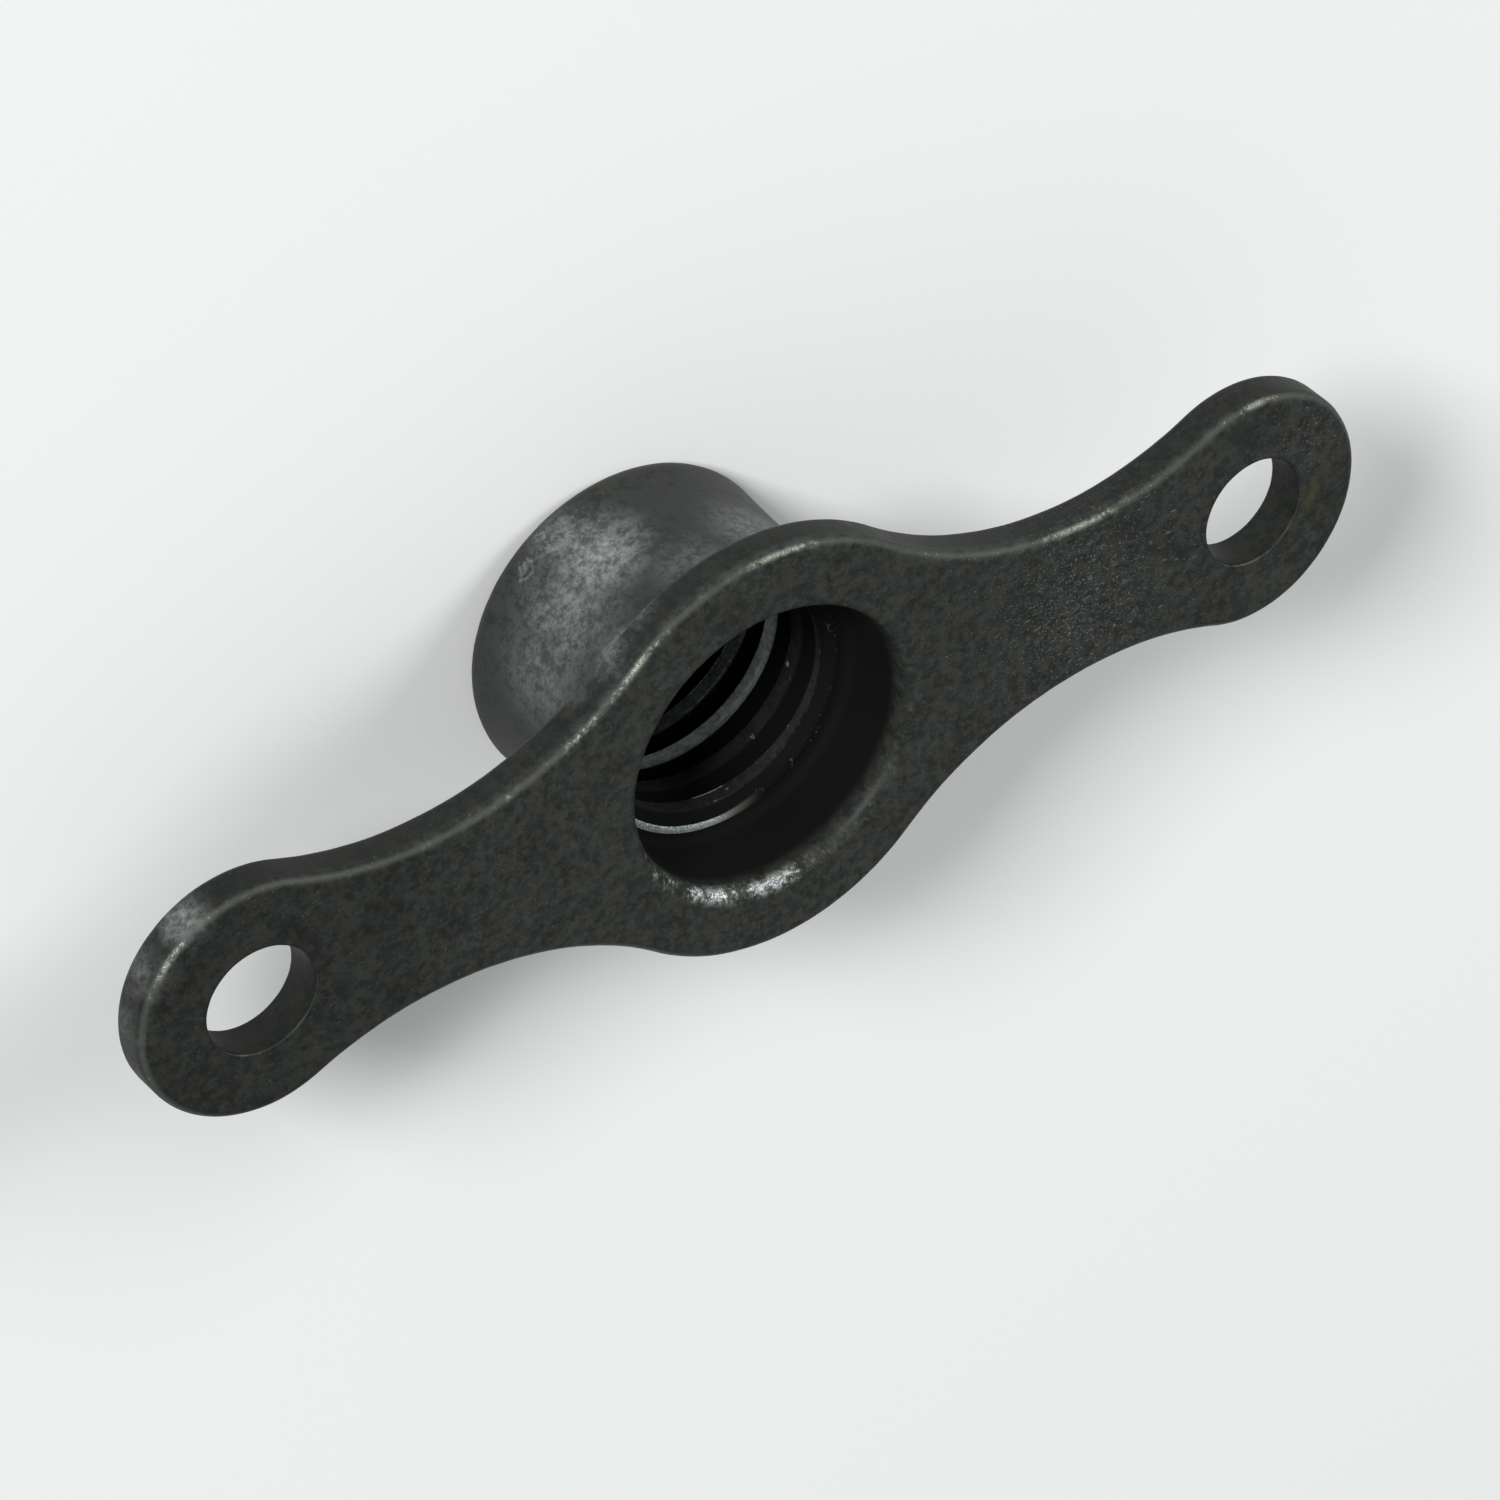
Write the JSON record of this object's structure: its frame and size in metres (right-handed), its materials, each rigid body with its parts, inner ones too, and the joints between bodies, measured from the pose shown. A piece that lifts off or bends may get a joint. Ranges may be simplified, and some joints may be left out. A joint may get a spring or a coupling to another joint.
{
  "type": "two lug anchor nut",
  "caption": "Two lug anchor nut: a short threaded barrel with a counterbored mouth, standing out from a thin plate whose waisted arms end in round lugs with rivet holes.",
  "frame": {"origin": "on the bore axis, on the mounting face, midway between the rivet holes", "axes": "+Z along the bore axis, out of the counterbore's mouth and away from the barrel; +X from one rivet hole to the other"},
  "size_m": [0.0312, 0.01, 0.0061],
  "materials": {
    "blackened_steel": "satin"
  },
  "bodies": {
    "root": {"anchor_nut": "blackened_steel"}
  },
  "joints": []
}
